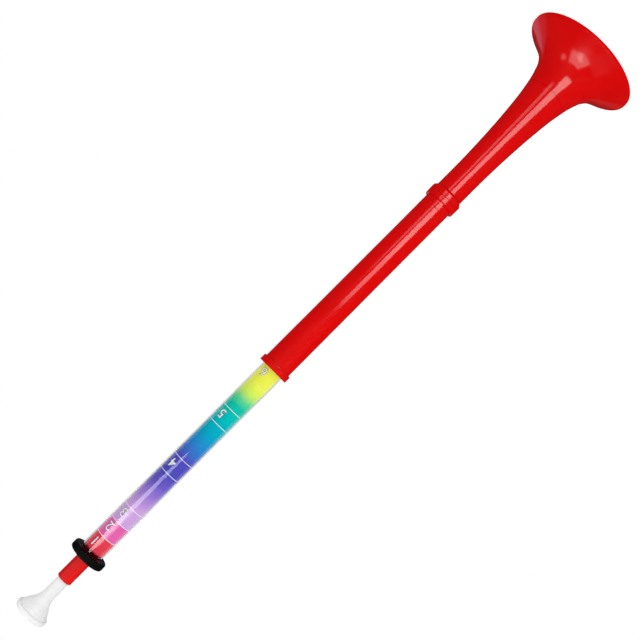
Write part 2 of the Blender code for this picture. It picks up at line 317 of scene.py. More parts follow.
class TrumpetFinish(bpy.types.PropertyGroup):
    """Colours and gloss of the plastics."""

    red: bpy.props.FloatVectorProperty(
        name="Red Plastic",
        description="Colour of the moulded red pieces",
        default=(0.75, 0.0004, 0.0006),
        size=3,
        min=0.0,
        max=1.0,
        subtype="COLOR",
    )
    white: bpy.props.FloatVectorProperty(
        name="White Plastic",
        description="Colour of the mouthpiece and the liner",
        default=(0.83, 0.83, 0.84),
        size=3,
        min=0.0,
        max=1.0,
        subtype="COLOR",
    )
    black: bpy.props.FloatVectorProperty(
        name="Black Rubber",
        description="Colour of the bumper ring and the seal",
        default=(0.0045, 0.0050, 0.0045),
        size=3,
        min=0.0,
        max=1.0,
        subtype="COLOR",
    )
    grey: bpy.props.FloatVectorProperty(
        name="Grey Plastic",
        description="Colour of the slide head and the guide ring",
        default=(0.32, 0.33, 0.35),
        size=3,
        min=0.0,
        max=1.0,
        subtype="COLOR",
    )
    clear: bpy.props.FloatVectorProperty(
        name="Clear Plastic",
        description="Tint of the clear slide tube",
        default=(0.97, 0.98, 0.98),
        size=3,
        min=0.0,
        max=1.0,
        subtype="COLOR",
    )
    red_roughness: bpy.props.FloatProperty(
        name="Red Roughness",
        description="Roughness of the red plastic",
        default=0.12,
        min=0.0,
        max=1.0,
        subtype="FACTOR",
    )


class TrumpetStage(bpy.types.PropertyGroup):
    """Camera, floor and light."""

    camera_distance: bpy.props.FloatProperty(
        name="Camera Distance",
        description="Distance of the camera in front of the trumpet's axis",
        default=0.9077,
        min=0.1,
        unit="LENGTH",
    )
    camera_height: bpy.props.FloatProperty(
        name="Camera Height",
        description="Height of the camera above the floor",
        default=0.4242,
        unit="LENGTH",
    )
    lens_length: bpy.props.FloatProperty(
        name="Lens Length",
        description="Focal length of the camera's lens, in millimetres",
        default=55.07,
        min=1.0,
        unit="CAMERA",
    )
    camera_roll: bpy.props.FloatProperty(
        name="Camera Roll",
        description="Turn of the picture, which lays the trumpet along its diagonal",
        default=math.radians(45.05),
        subtype="ANGLE",
        unit="ROTATION",
    )
    floor_radius: bpy.props.FloatProperty(
        name="Floor Radius",
        description="Radius of the pale floor",
        default=6.0,
        min=0.5,
        unit="LENGTH",
    )
    ambient: bpy.props.FloatProperty(
        name="Ambient Light",
        description="Strength of the even light from all round",
        default=0.81,
        min=0.0,
    )
    overhead_dimming: bpy.props.FloatProperty(
        name="Overhead Dimming",
        description="Share of the even light that is missing straight overhead",
        default=0.22,
        min=0.0,
        max=1.0,
        subtype="FACTOR",
    )
    reflected_white: bpy.props.FloatProperty(
        name="Reflected White",
        description="Brightness of the white surroundings as glossy plastic mirrors them",
        default=0.015,
        min=0.0,
        max=1.0,
        subtype="FACTOR",
    )


# Node tools


def new_tree(material):
    """Empty the material's nodes and return its tree."""
    material.use_nodes = True
    material.node_tree.nodes.clear()
    return material.node_tree


def add_node(tree, kind, **settings):
    """Add a node, set its attributes, and fill the inputs that are given by name."""
    node = tree.nodes.new(kind)
    inputs = settings.pop("inputs", {})
    for key, value in settings.items():
        setattr(node, key, value)
    for key, value in inputs.items():
        if isinstance(value, bpy.types.NodeSocket):
            tree.links.new(value, node.inputs[key])
        else:
            node.inputs[key].default_value = value
    return node


def calculate(tree, operation, first, second=0.0, third=0.0, clamp=False):
    """Math node on values or sockets."""
    node = add_node(tree, "ShaderNodeMath", operation=operation, use_clamp=clamp)
    for socket, value in zip(node.inputs, (first, second, third)):
        if isinstance(value, bpy.types.NodeSocket):
            tree.links.new(value, socket)
        else:
            socket.default_value = value
    return node.outputs[0]


def blend_colours(tree, factor, first, second, mode="MIX"):
    """Colour mix of two colours or sockets."""
    node = add_node(tree, "ShaderNodeMix", data_type="RGBA", blend_type=mode)
    for index, value in ((0, factor), (6, first), (7, second)):
        if isinstance(value, bpy.types.NodeSocket):
            tree.links.new(value, node.inputs[index])
        else:
            node.inputs[index].default_value = value
    return node.outputs[2]


def noise(tree, place, scale, detail, roughness=0.5):
    """Smooth noise at a place, from 0 to 1."""
    inputs = {"Vector": place, "Scale": scale, "Detail": detail, "Roughness": roughness}
    return add_node(tree, "ShaderNodeTexNoise", inputs=inputs).outputs["Fac"]


def ramped(tree, value, low, high, top=1.0):
    """Value that rises from 0 at low to top at high, and holds beyond them."""
    inputs = {"Value": value, "From Min": low, "From Max": high, "To Max": top}
    return add_node(tree, "ShaderNodeMapRange", inputs=inputs).outputs[0]


def drawn_out(tree, place, squeeze):
    """Place whose height is squeezed, so that a pattern is drawn out along the trumpet."""
    inputs = {0: place, 1: (1.0, 1.0, squeeze)}
    return add_node(tree, "ShaderNodeVectorMath", operation="MULTIPLY", inputs=inputs).outputs[0]


def new_group(name, inputs, outputs):
    """Shader node group with named inputs (name: default) and outputs (name: socket kind)."""
    group = bpy.data.node_groups.new(name, "ShaderNodeTree")
    kinds = {float: "NodeSocketFloat", tuple: "NodeSocketColor", type(None): "NodeSocketVector"}
    for key, default in inputs.items():
        socket = group.interface.new_socket(key, in_out="INPUT", socket_type=kinds[type(default)])
        if default is not None:
            socket.default_value = default
    for key, kind in outputs.items():
        group.interface.new_socket(key, in_out="OUTPUT", socket_type=kind)
    given = group.nodes.new("NodeGroupInput").outputs
    result = group.nodes.new("NodeGroupOutput").inputs
    return group, given, result


def place_group(tree, name, **inputs):
    """Put a named group into a material with its own values."""
    node = add_node(tree, "ShaderNodeGroup", node_tree=bpy.data.node_groups[name])
    for key, value in inputs.items():
        socket = node.inputs[key.replace("_", " ").title()]
        if isinstance(value, bpy.types.NodeSocket):
            tree.links.new(value, socket)
        else:
            socket.default_value = value
    return node.outputs


def make_moulded_skin():
    """Group: slow ripples and a fine orange-peel of a moulded surface, as a height."""
    group, given, result = new_group(
        "Moulded Skin",
        {"Position": None, "Ripple Size": 8.0 * MM, "Peel Size": 0.8 * MM, "Peel Share": 0.012},
        {"Height": "NodeSocketFloat"},
    )
    ripple_scale = calculate(group, "DIVIDE", 1.0, given["Ripple Size"])
    peel_scale = calculate(group, "DIVIDE", 1.0, given["Peel Size"])
    ripple = noise(group, drawn_out(group, given["Position"], 0.35), ripple_scale, 1.0, 0.4)
    peel = noise(group, given["Position"], peel_scale, 0.0)
    fine = calculate(group, "MULTIPLY", peel, given["Peel Share"])
    group.links.new(calculate(group, "ADD", ripple, fine), result["Height"])


def make_handling_marks():
    """Group: roughness with rubbed patches and hairline scratches, and their mask."""
    group, given, result = new_group(
        "Handling Marks",
        {"Position": None, "Roughness": 0.2, "Rub": 0.08, "Scratch": 0.15},
        {"Roughness": "NodeSocketFloat", "Mask": "NodeSocketFloat"},
    )
    patches = ramped(group, noise(group, given["Position"], 38.0, 4.0, 0.6), 0.45, 0.72)
    streaks = drawn_out(group, given["Position"], 0.06)
    hairs = ramped(group, noise(group, streaks, 2600.0, 2.0), 0.68, 0.76)
    scratch = calculate(group, "MULTIPLY", hairs, patches)
    rubbed = calculate(group, "MULTIPLY_ADD", patches, given["Rub"], given["Roughness"])
    total = calculate(group, "MULTIPLY_ADD", scratch, given["Scratch"], rubbed, clamp=True)
    group.links.new(total, result["Roughness"])
    group.links.new(scratch, result["Mask"])


def make_colour_drift():
    """Group: faint cloudy drift of a dyed plastic's colour."""
    group, given, result = new_group(
        "Colour Drift",
        {"Position": None, "Color": (0.5, 0.5, 0.5, 1.0), "Cloud Size": 30.0 * MM, "Amount": 0.06},
        {"Color": "NodeSocketColor"},
    )
    scale = calculate(group, "DIVIDE", 1.0, given["Cloud Size"])
    clouds = noise(group, given["Position"], scale, 2.0)
    swing = calculate(group, "MULTIPLY_ADD", clouds, 2.0, -1.0)
    value = calculate(group, "MULTIPLY_ADD", swing, given["Amount"], 1.0)
    inputs = {"Color": given["Color"], "Value": value}
    shaded = add_node(group, "ShaderNodeHueSaturation", inputs=inputs)
    group.links.new(shaded.outputs[0], result["Color"])


def new_material(name):
    """New material, its empty tree, and the place on the object that its nodes read."""
    material = bpy.data.materials.new(name)
    tree = new_tree(material)
    return material, tree, add_node(tree, "ShaderNodeTexCoord").outputs["Object"]


def skin_normal(tree, position, depth, ripple_size):
    """Normal of a moulded skin whose ripples have this depth and size."""
    skin = place_group(tree, "Moulded Skin", position=position, ripple_size=ripple_size)
    inputs = {"Strength": 1.0, "Distance": depth, "Height": skin["Height"]}
    return add_node(tree, "ShaderNodeBump", inputs=inputs).outputs[0]


def plastic(tree, colour, roughness, normal, **more):
    """Principled shader of a plastic, with what else it needs by name."""
    inputs = {"Base Color": colour, "Roughness": roughness, "Normal": normal}
    for key, value in more.items():
        inputs[key.replace("_", " ")] = value
    return add_node(tree, "ShaderNodeBsdfPrincipled", inputs=inputs)


def show(tree, shader):
    """Give a shader to the material's surface."""
    output = add_node(tree, "ShaderNodeOutputMaterial")
    tree.links.new(shader.outputs[0], output.inputs["Surface"])


def moulded(name, colour, roughness, depth, ripple_size, rub, drift, specular=0.5, glow_depth=0.0):
    """Material of one moulded plastic or rubber, with skin, handling marks and colour drift.

    The skin's ripples have a depth and a size, rub is what handling adds to the roughness, and
    drift is how far the colour strays. A pale plastic has a glow depth: how far light spreads
    inside it.
    """
    material, tree, position = new_material(name)
    dye = (*colour, 1.0)
    tinted = place_group(tree, "Colour Drift", position=position, color=dye, amount=drift)
    marks = place_group(tree, "Handling Marks", position=position, roughness=roughness, rub=rub)
    normal = skin_normal(tree, position, depth, ripple_size)
    shader = plastic(
        tree, tinted["Color"], marks["Roughness"], normal, Specular_IOR_Level=specular
    )
    if glow_depth:
        shader.inputs["Subsurface Weight"].default_value = GLOW_WEIGHT
        shader.inputs["Subsurface Radius"].default_value = (1.0, 1.0, 1.0)
        shader.inputs["Subsurface Scale"].default_value = glow_depth
    show(tree, shader)
    return material


def clear_plastic(name, tint):
    """Clear acrylic, which lets the lamps' light through to the film inside it."""
    material, tree, position = new_material(name)
    marks = place_group(
        tree, "Handling Marks", position=position, roughness=0.03, rub=0.03, scratch=0.04
    )
    # Only the outside is rubbed; what light meets inside the wall is polished
    rays = add_node(tree, "ShaderNodeLightPath").outputs
    outside = calculate(tree, "LESS_THAN", rays["Transmission Depth"], 0.5)
    roughness = calculate(tree, "MULTIPLY", marks["Roughness"], outside)
    normal = skin_normal(tree, position, 0.02 * MM, 14.0 * MM)
    shader = plastic(
        tree, (*tint, 1.0), roughness, normal, IOR=ACRYLIC_IOR, Transmission_Weight=1.0
    )
    passing = add_node(tree, "ShaderNodeBsdfTransparent", inputs={"Color": (*tint, 1.0)})
    lets_by = calculate(tree, "MAXIMUM", rays["Is Shadow Ray"], rays["Is Diffuse Ray"])
    # The outline of so thin a wall all but vanishes
    facing = add_node(tree, "ShaderNodeLayerWeight", inputs={"Blend": 0.5}).outputs["Facing"]
    outline = ramped(tree, facing, FADE_START, FADE_END, FADE_SHARE)
    lets_by = calculate(tree, "MAXIMUM", lets_by, outline)
    mix = {0: lets_by, 1: shader.outputs[0], 2: passing.outputs[0]}
    show(tree, add_node(tree, "ShaderNodeMixShader", inputs=mix))
    return material


def film_place(tree, position):
    """Height on the film, true and wandering a little as watercolour does."""
    height = add_node(tree, "ShaderNodeSeparateXYZ", inputs={0: position}).outputs["Z"]
    wash = noise(tree, position, 62.0, 3.0, 0.55)
    wander = calculate(tree, "MULTIPLY_ADD", wash, WASH_REACH, -0.5 * WASH_REACH)
    return height, calculate(tree, "ADD", height, wander)


def printed_film(name, line_width):
    """Film printed with a soft rainbow and white lines round it, with painted shade darkening its
    end by the bumper ring.
    """
    material, tree, position = new_material(name)
    true_height, washed_height = film_place(tree, position)
    # Only the soft stretch wanders: the red, pink and lilac fields meet on their lines
    in_fields = calculate(tree, "GREATER_THAN", true_height, FIELDS_FOOT)
    choice = {0: in_fields, 2: washed_height, 3: true_height}
    height = add_node(tree, "ShaderNodeMix", data_type="FLOAT", inputs=choice).outputs[0]
    share = ramped(tree, height, FILM_FOOT, FILM_TOP)
    ramp = add_node(tree, "ShaderNodeValToRGB", inputs={0: share})
    stops = ramp.color_ramp.elements
    while len(stops) < len(RAINBOW):
        stops.new(0.5)
    for stop, (stop_height, ink) in zip(stops, RAINBOW):
        stop.position = (stop_height * MM - FILM_FOOT) / (FILM_TOP - FILM_FOOT)
    for stop, (stop_height, ink) in zip(stops, RAINBOW):
        stop.color = (*ink, 1.0)
    # The ramp's colour carries the ink and the painted shade at the film's end
    ink = ramp.outputs[0]
    drifted = place_group(
        tree, "Colour Drift", position=position, color=ink, cloud_size=9.0 * MM, amount=0.07
    )
    cover = 0.0
    for line_height, line_cover in LINES:
        near = calculate(tree, "COMPARE", true_height, line_height, 0.5 * line_width)
        cover = calculate(tree, "MULTIPLY_ADD", near, line_cover, cover)
    printed = blend_colours(tree, cover, drifted["Color"], (1.0, 1.0, 1.0, 1.0))
    marks = place_group(tree, "Handling Marks", position=position, roughness=0.32, rub=0.05)
    normal = skin_normal(tree, position, 0.03 * MM, 20.0 * MM)
    show(tree, plastic(tree, printed, marks["Roughness"], normal, Specular_IOR_Level=0.0))
    return material


def make_materials(finish, form):
    """Build the shared effects once, then every finish of the trumpet."""
    make_moulded_skin()
    make_handling_marks()
    make_colour_drift()
    moulded("Red Gloss Plastic", finish.red, finish.red_roughness, 0.05 * MM, 9.0 * MM, 0.04, 0.05)
    moulded("Satin Red Plastic", finish.red, 0.30, 0.05 * MM, 6.0 * MM, 0.05, 0.05, specular=0.3)
    moulded(
        "White Gloss Plastic", finish.white, 0.38, 0.04 * MM, 7.0 * MM, 0.06, 0.012,
        glow_depth=GLOW_DEPTH,
    )
    moulded("Black Rubber", finish.black, 0.38, 0.03 * MM, 4.0 * MM, 0.10, 0.10, specular=0.06)
    moulded("Grey Plastic", finish.grey, 0.42, 0.04 * MM, 5.0 * MM, 0.10, 0.04)
    moulded("White Print", (0.95, 0.95, 0.96), 0.35, 0.01 * MM, 3.0 * MM, 0.05, 0.01, specular=0.0)
    moulded("Shadow Print", (0.16, 0.16, 0.19), 0.40, 0.01 * MM, 3.0 * MM, 0.05, 0.02, specular=0.0)
    clear_plastic("Clear Acrylic", finish.clear)
    printed_film("Printed Film", form.line_width)


# Shape tools


def slopes(knots):
    """Slope of a smooth curve at each knot, level at the last one."""
    chords = [(b[1] - a[1]) / (b[0] - a[0]) for a, b in zip(knots, knots[1:])]
    widths = [b[0] - a[0] for a, b in zip(knots, knots[1:])]
    inner = [
        (chords[i] * widths[i + 1] + chords[i + 1] * widths[i]) / (widths[i] + widths[i + 1])
        for i in range(len(chords) - 1)
    ]
    return [chords[0]] + inner + [0.0]


def smooth_value(knots, x):
    """Value at x of the smooth curve through the knots, held constant past the last knot."""
    if x >= knots[-1][0]:
        return knots[-1][1]
    i = max(k for k in range(len(knots) - 1) if knots[k][0] <= x or k == 0)
    width = knots[i + 1][0] - knots[i][0]
    t = (x - knots[i][0]) / width
    bends = slopes(knots)
    rise_start = (1.0 + 2.0 * t) * (1.0 - t) ** 2 * knots[i][1]
    rise_end = t * t * (3.0 - 2.0 * t) * knots[i + 1][1]
    bend_start = t * (1.0 - t) ** 2 * width * bends[i]
    bend_end = t * t * (t - 1.0) * width * bends[i + 1]
    return rise_start + rise_end + bend_start + bend_end


def spaced(start, end, steps, growth=1.0):
    """Heights from start to end, closer together near the start when growth is above 1."""
    return [start + (end - start) * (i / steps) ** growth for i in range(steps + 1)]


def bell_radius(height):
    """Outer radius of the bell at a height above its rim."""
    share = smooth_value(BELL_CURVE, (height - RIM_EDGE) / TAPER_LENGTH)
    return TUBE_RADIUS + (RIM_RADIUS - TUBE_RADIUS) * share


def bell_inside(height):
    """Point one wall thickness inside the flare's outer surface, as (radius, height)."""
    slope = (bell_radius(height + SLOPE_REACH) - bell_radius(height)) / SLOPE_REACH
    length = math.hypot(1.0, slope)
    return bell_radius(height) - BELL_WALL / length, height + BELL_WALL * slope / length


def rounded(corners, steps):
    """Closed outline from (radius, height, fillet) corners, each eased over its fillet length."""
    outline = []
    for i, (radius, height, fillet) in enumerate(corners):
        here = Vector((radius, height))
        if not fillet:
            outline.append(here)
            continue
        before = Vector(corners[i - 1][:2]) - here
        after = Vector(corners[(i + 1) % len(corners)][:2]) - here
        start = here + before * min(fillet / before.length, 0.5)
        end = here + after * min(fillet / after.length, 0.5)
        for step in range(steps + 1):
            t = step / steps
            outline.append(start * (1.0 - t) ** 2 + here * (2.0 * t * (1.0 - t)) + end * t * t)
    return outline


def finish_mesh(form, name, material_name):
    """Turn a bmesh into an object with smooth shading, crisp only at true corners."""
    sharp_angle = math.radians(40.0)
    bmesh.ops.recalc_face_normals(form, faces=form.faces)
    mesh = bpy.data.meshes.new(name)
    form.to_mesh(mesh)
    form.free()
    mesh.shade_smooth()
    mesh.set_sharp_from_angle(angle=sharp_angle)
    mesh.materials.append(bpy.data.materials[material_name])
    piece = bpy.data.objects.new(name, mesh)
    bpy.context.scene.collection.objects.link(piece)
    return piece


def turned(name, corners, material_name, form):
    """Turn a closed outline of rounded corners about the axis into one solid."""
    shape = bmesh.new()
    outline = rounded(corners, form.fillet_steps)
    points = [shape.verts.new((point.x, 0.0, point.y)) for point in outline]
    edges = [shape.edges.new((points[i - 1], points[i])) for i in range(len(points))]
    bmesh.ops.spin(
        shape,
        geom=points + edges,
        cent=(0.0, 0.0, 0.0),
        axis=(0.0, 0.0, 1.0),
        angle=2.0 * math.pi,
        steps=form.sides,
        use_merge=True,
    )
    piece = finish_mesh(shape, name, material_name)
    weights = piece.modifiers.new("Even Shading", "WEIGHTED_NORMAL")
    weights.keep_sharp = True
    return piece


def settle(piece, body, slot, *nodes):
    """Attach a finished piece to its body and hide the CAD nodes it stands for. The slot is not
    used.
    """
    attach(piece, body)
    if nodes:
        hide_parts(*nodes)


def tube_corners(outside, inside, foot, top, fillet):
    """Corners of a plain tube with softened ends."""
    return [
        (inside, foot, fillet),
        (outside, foot, fillet),
        (outside, top, fillet),
        (inside, top, fillet),
    ]


# Operators, one for each piece or group of like pieces


class MakeBell(bpy.types.Operator):
    """Make the flare and the stem of the bell, which meet in a fine seam"""

    bl_idname = "trumpet.make_bell"
    bl_label = "Bell"
    bl_options = {"REGISTER", "UNDO"}

    def execute(self, context):
        form = context.scene.trumpet_form
        self.make_flare(form)
        self.make_stem(form)
        return {"FINISHED"}

    def make_flare(self, form):
        edge = form.edge_rounding
        heights = spaced(RIM_EDGE, FLARE_TOP, form.bell_steps, 1.5)
        seam = FLARE_TOP + SEAM_REACH
        corners = [
            (RIM_RADIUS - RIM_LIP, RIM_FOOT, edge),
            (RIM_RADIUS, RIM_FOOT, 2.0 * edge),
            (RIM_RADIUS, RIM_EDGE, 2.0 * edge),
        ]
        corners += [(bell_radius(height), height, 0.0) for height in heights[1:-1]]
        corners.append((bell_radius(seam), seam, 0.2 * edge))
        corners.append((bell_inside(FLARE_TOP)[0], seam, 0.0))
        corners += [(*bell_inside(height), 0.0) for height in reversed(heights[1:-1])]
        piece = turned("bell_flare_shell", corners, "Red Gloss Plastic", form)
        settle(piece, "outer_slide", "red_plastic", "bell_flare")

    def make_stem(self, form):
        edge = form.edge_rounding
        shoulder = FLARE_TOP + SEAT_GAP
        taper_end = RIM_EDGE + TAPER_LENGTH
        spigot_outside = bell_inside(FLARE_TOP)[0] - SEAT_GAP
        spigot_inside = spigot_outside - BELL_SPIGOT_WALL
        heights = spaced(shoulder, taper_end, form.bell_steps)
        corners = [
            (spigot_inside, STEM_FOOT, 0.0),
            (spigot_outside, STEM_FOOT, edge),
            (spigot_outside, shoulder, 0.0),
            (bell_radius(shoulder), shoulder, 0.2 * edge),
        ]
        corners += [(bell_radius(height), height, 0.0) for height in heights[1:]]
        corners += [(TUBE_RADIUS, STEM_TOP, edge), (SLIDE_BORE, STEM_TOP, edge)]
        for height in reversed(heights[1:]):
            inside = max(bell_radius(height) - STEM_WALL, SLIDE_BORE)
            corners.append((min(inside, spigot_inside), height, 0.0))
        piece = turned("bell_stem_shell", corners, "Red Gloss Plastic", form)
        settle(piece, "outer_slide", "red_plastic", "bell_stem")


class MakeCollars(bpy.types.Operator):
    """Make the collar over the bell joint and the collar on the tube's mouth"""

    bl_idname = "trumpet.make_collars"
    bl_label = "Collars"
    bl_options = {"REGISTER", "UNDO"}

    def execute(self, context):
        form = context.scene.trumpet_form
        self.make_joint_collar(form)
        self.make_end_collar(form)
        return {"FINISHED"}

    def make_joint_collar(self, form):
        edge = form.edge_rounding
        groove_radius = JOINT_BAND_RADIUS - JOINT_GROOVE_DEPTH
        corners = [
            (CAP_BORE, JOINT_FOOT, 0.0),
            (JOINT_CONE_RADIUS, JOINT_FOOT, edge),
            (RIDGE_RADIUS, JOINT_FOOT + JOINT_CONE_TOP, 1.6 * edge),
            (RIDGE_RADIUS, JOINT_FOOT + JOINT_RIDGE_TOP, edge),
            (groove_radius, JOINT_FOOT + JOINT_RIDGE_TOP, 0.0),
            (groove_radius, JOINT_FOOT + JOINT_GROOVE_TOP, 0.0),
            (JOINT_BAND_RADIUS, JOINT_FOOT + JOINT_GROOVE_TOP, edge),
            (JOINT_BAND_RADIUS, JOINT_TOP, 2.0 * edge),
            (CAP_BORE, JOINT_TOP, 0.0),
        ]
        piece = turned("joint_collar_band", corners, "Red Gloss Plastic", form)
        settle(piece, "outer_slide", "red_plastic", "joint_collar")

    def make_end_collar(self, form):
        edge = form.edge_rounding
        corners = [
            (CAP_BORE, COLLAR_FOOT, 0.0),
            (COLLAR_RADIUS - COLLAR_CHAMFER, COLLAR_FOOT, edge),
            (COLLAR_RADIUS, COLLAR_FOOT + COLLAR_CHAMFER, edge),
            (COLLAR_RADIUS, COLLAR_TOP, edge),
            (LIP_BORE, COLLAR_TOP, edge),
            (LIP_BORE, COLLAR_TOP - COLLAR_LIP, 0.0),
            (CAP_BORE, COLLAR_TOP - COLLAR_LIP, 0.0),
        ]
        piece = turned("end_collar_band", corners, "Red Gloss Plastic", form)
        settle(piece, "outer_slide", "red_plastic", "end_collar")


class MakeOuterTube(bpy.types.Operator):
    """Make the red outer tube with its fine witness line"""

    bl_idname = "trumpet.make_outer_tube"
    bl_label = "Outer Tube"
    bl_options = {"REGISTER", "UNDO"}

    def execute(self, context):
        form = context.scene.trumpet_form
        edge = form.edge_rounding
        half_width = 0.5 * WITNESS_WIDTH
        corners = [
            (SLIDE_BORE, TUBE_FOOT, edge),
            (TUBE_RADIUS, TUBE_FOOT, edge),
            (TUBE_RADIUS, WITNESS_HEIGHT - half_width, 0.0),
            (TUBE_RADIUS - WITNESS_DEPTH, WITNESS_HEIGHT, 0.0),
            (TUBE_RADIUS, WITNESS_HEIGHT + half_width, 0.0),
            (TUBE_RADIUS, TUBE_TOP, edge),
            (SLIDE_BORE, TUBE_TOP, edge),
        ]
        piece = turned("outer_tube_shell", corners, "Red Gloss Plastic", form)
        settle(piece, "outer_slide", "red_plastic", "outer_slide_tube")
        return {"FINISHED"}


class FinishHiddenParts(bpy.types.Operator):
    """Finish the guide ring and the airway liner, whose shapes stay as the frame has them"""

    bl_idname = "trumpet.finish_hidden_parts"
    bl_label = "Guide Ring and Liner"
    bl_options = {"REGISTER", "UNDO"}

    def execute(self, context):
        finishes = {"guide_ring": "Grey Plastic", "airway_liner": "White Gloss Plastic"}
        for node, material_name in finishes.items():
            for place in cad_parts[node].material_slots:
                place.material = bpy.data.materials[material_name]
        return {"FINISHED"}


class MakeSlideHead(bpy.types.Operator):
    """Make the slide head and the rubber seal in its groove"""

    bl_idname = "trumpet.make_slide_head"
    bl_label = "Slide Head and Seal"
    bl_options = {"REGISTER", "UNDO"}

    def execute(self, context):
        form = context.scene.trumpet_form
        edge = form.edge_rounding
        shoulder = HEAD_FOOT + HEAD_LENGTH
        spigot_top = shoulder + HEAD_SPIGOT
        cup_radius = HEAD_RADIUS - HEAD_WALL
        web_foot = shoulder - HEAD_WEB
        groove_radius = HEAD_RADIUS - SEAL_DEPTH
        corners = [
            (cup_radius, HEAD_FOOT, edge),
            (HEAD_RADIUS, HEAD_FOOT, HEAD_CHAMFER),
            (HEAD_RADIUS, SEAL_FOOT - SEAT_GAP, edge),
            (groove_radius, SEAL_FOOT - SEAT_GAP, 0.0),
            (groove_radius, SEAL_TOP + SEAT_GAP, 0.0),
            (HEAD_RADIUS, SEAL_TOP + SEAT_GAP, edge),
            (HEAD_RADIUS, shoulder, edge),
            (SPIGOT_RADIUS, shoulder, 0.0),
            (SPIGOT_RADIUS, spigot_top, edge),
            (REGISTER_RADIUS, spigot_top, 0.0),
            (REGISTER_RADIUS, HEAD_TOP, edge),
            (AIRWAY_RADIUS, HEAD_TOP, edge),
            (AIRWAY_RADIUS, web_foot, edge),
            (cup_radius, web_foot - (cup_radius - AIRWAY_RADIUS), edge),
        ]
        head = turned("slide_head_piston", corners, "Grey Plastic", form)
        settle(head, "inner_slide", "grey_plastic", "slide_head")
        seal_bore = groove_radius + SEAT_GAP
        seal_corners = tube_corners(SEAL_RADIUS, seal_bore, SEAL_FOOT, SEAL_TOP, SEAL_CHAMFER)
        seal = turned("slide_seal_ring", seal_corners, "Black Rubber", form)
        settle(seal, "inner_slide", "black_rubber", "slide_seal")
        return {"FINISHED"}


class MakeClearTube(bpy.types.Operator):
    """Make the clear tube of the inner slide"""

    bl_idname = "trumpet.make_clear_tube"
    bl_label = "Clear Tube"
    bl_options = {"REGISTER", "UNDO"}

    def execute(self, context):
        form = context.scene.trumpet_form
        corners = tube_corners(CLEAR_RADIUS, CLEAR_BORE, CLEAR_FOOT, CLEAR_TOP, form.edge_rounding)
        piece = turned("clear_tube_shell", corners, "Clear Acrylic", form)
        settle(piece, "inner_slide", "clear_plastic", "clear_slide_tube")
        return {"FINISHED"}


class MakeScaleFilm(bpy.types.Operator):
    """Make the printed film inside the clear tube, with its raised numerals"""

    bl_idname = "trumpet.make_scale_film"
    bl_label = "Printed Scale"
    bl_options = {"REGISTER", "UNDO"}

    film_wall = 0.35 * MM
    ink = 0.03 * MM
    strip = 0.35 * MM

    def execute(self, context):
        form = context.scene.trumpet_form
        corners = tube_corners(FILM_RADIUS, FILM_RADIUS - self.film_wall, FILM_FOOT, FILM_TOP, 0.0)
        film = turned("scale_film", corners, "Printed Film", form)
        settle(film, "inner_slide", "printed_film", "scale_sleeve")
        prints = (
            ("numeral_outlines", "Shadow Print", SHADOW_WEIGHT, 1.0),
            ("scale_numerals", "White Print", FACE_WEIGHT, 2.5),
        )
        for name, material_name, weight, layers in prints:
            radius = FILM_RADIUS + layers * self.ink
            numerals = self.print_numerals(name, material_name, weight, radius, form)
            settle(numerals, "inner_slide", "printed_film")
        return {"FINISHED"}

    def print_numerals(self, name, material_name, weight, radius, form):
        """Print every numeral as one piece, bent round the film."""
        shape = bmesh.new()
        for number, centre in enumerate(NUMERAL_HEIGHTS, start=1):
            flat = self.flat_numeral(str(number), weight, form.numeral_height)
            first_new = len(shape.verts)
            shape.from_mesh(flat)
            bpy.data.meshes.remove(flat)
            shape.verts.ensure_lookup_table()
            for vertex in shape.verts[first_new:]:
                angle = form.numeral_angle + vertex.co.x / FILM_RADIUS
                distance = radius + vertex.co.z
                vertex.co = (
                    distance * math.sin(angle),
                    -distance * math.cos(angle),
                    centre + vertex.co.y,
                )
        return finish_mesh(shape, name, material_name)

    def flat_numeral(self, text, weight, height):
        """Flat numeral in strips narrow enough to bend, its height set, as a thin closed mesh."""
        curve = bpy.data.curves.new("numeral", "FONT")
        curve.body = text
        curve.resolution_u = 6
        curve.offset = weight
        letter = bpy.data.objects.new("numeral", curve)
        bpy.context.scene.collection.objects.link(letter)
        bpy.context.view_layer.update()
        seen = letter.evaluated_get(bpy.context.evaluated_depsgraph_get())
        mesh = bpy.data.meshes.new_from_object(seen)
        bpy.data.objects.remove(letter)
        bpy.data.curves.remove(curve)
        plate = bmesh.new()
        plate.from_mesh(mesh)
        bmesh.ops.remove_doubles(plate, verts=plate.verts, dist=1e-5)
        low = Vector([min(v.co[k] for v in plate.verts) for k in range(3)])
        high = Vector([max(v.co[k] for v in plate.verts) for k in range(3)])
        middle = (low + high) / 2.0
        # The weight widens the letter on every side, so the bare letter sets the scale
        scale = height / (high.y - low.y - 2.0 * weight)
        for vertex in plate.verts:
            vertex.co = (vertex.co - middle) * scale
        half_width = (high.x - low.x) * scale / 2.0
        cuts = int(half_width / self.strip)
        for k in range(-cuts, cuts + 1):
            bmesh.ops.bisect_plane(
                plate,
                geom=list(plate.verts) + list(plate.edges) + list(plate.faces),
                plane_co=(k * self.strip, 0.0, 0.0),
                plane_no=(1.0, 0.0, 0.0),
            )
        lifted = bmesh.ops.extrude_face_region(plate, geom=list(plate.faces))
        for item in lifted["geom"]:
            if isinstance(item, bmesh.types.BMVert):
                item.co.z += self.ink
        plate.to_mesh(mesh)
        plate.free()
        return mesh


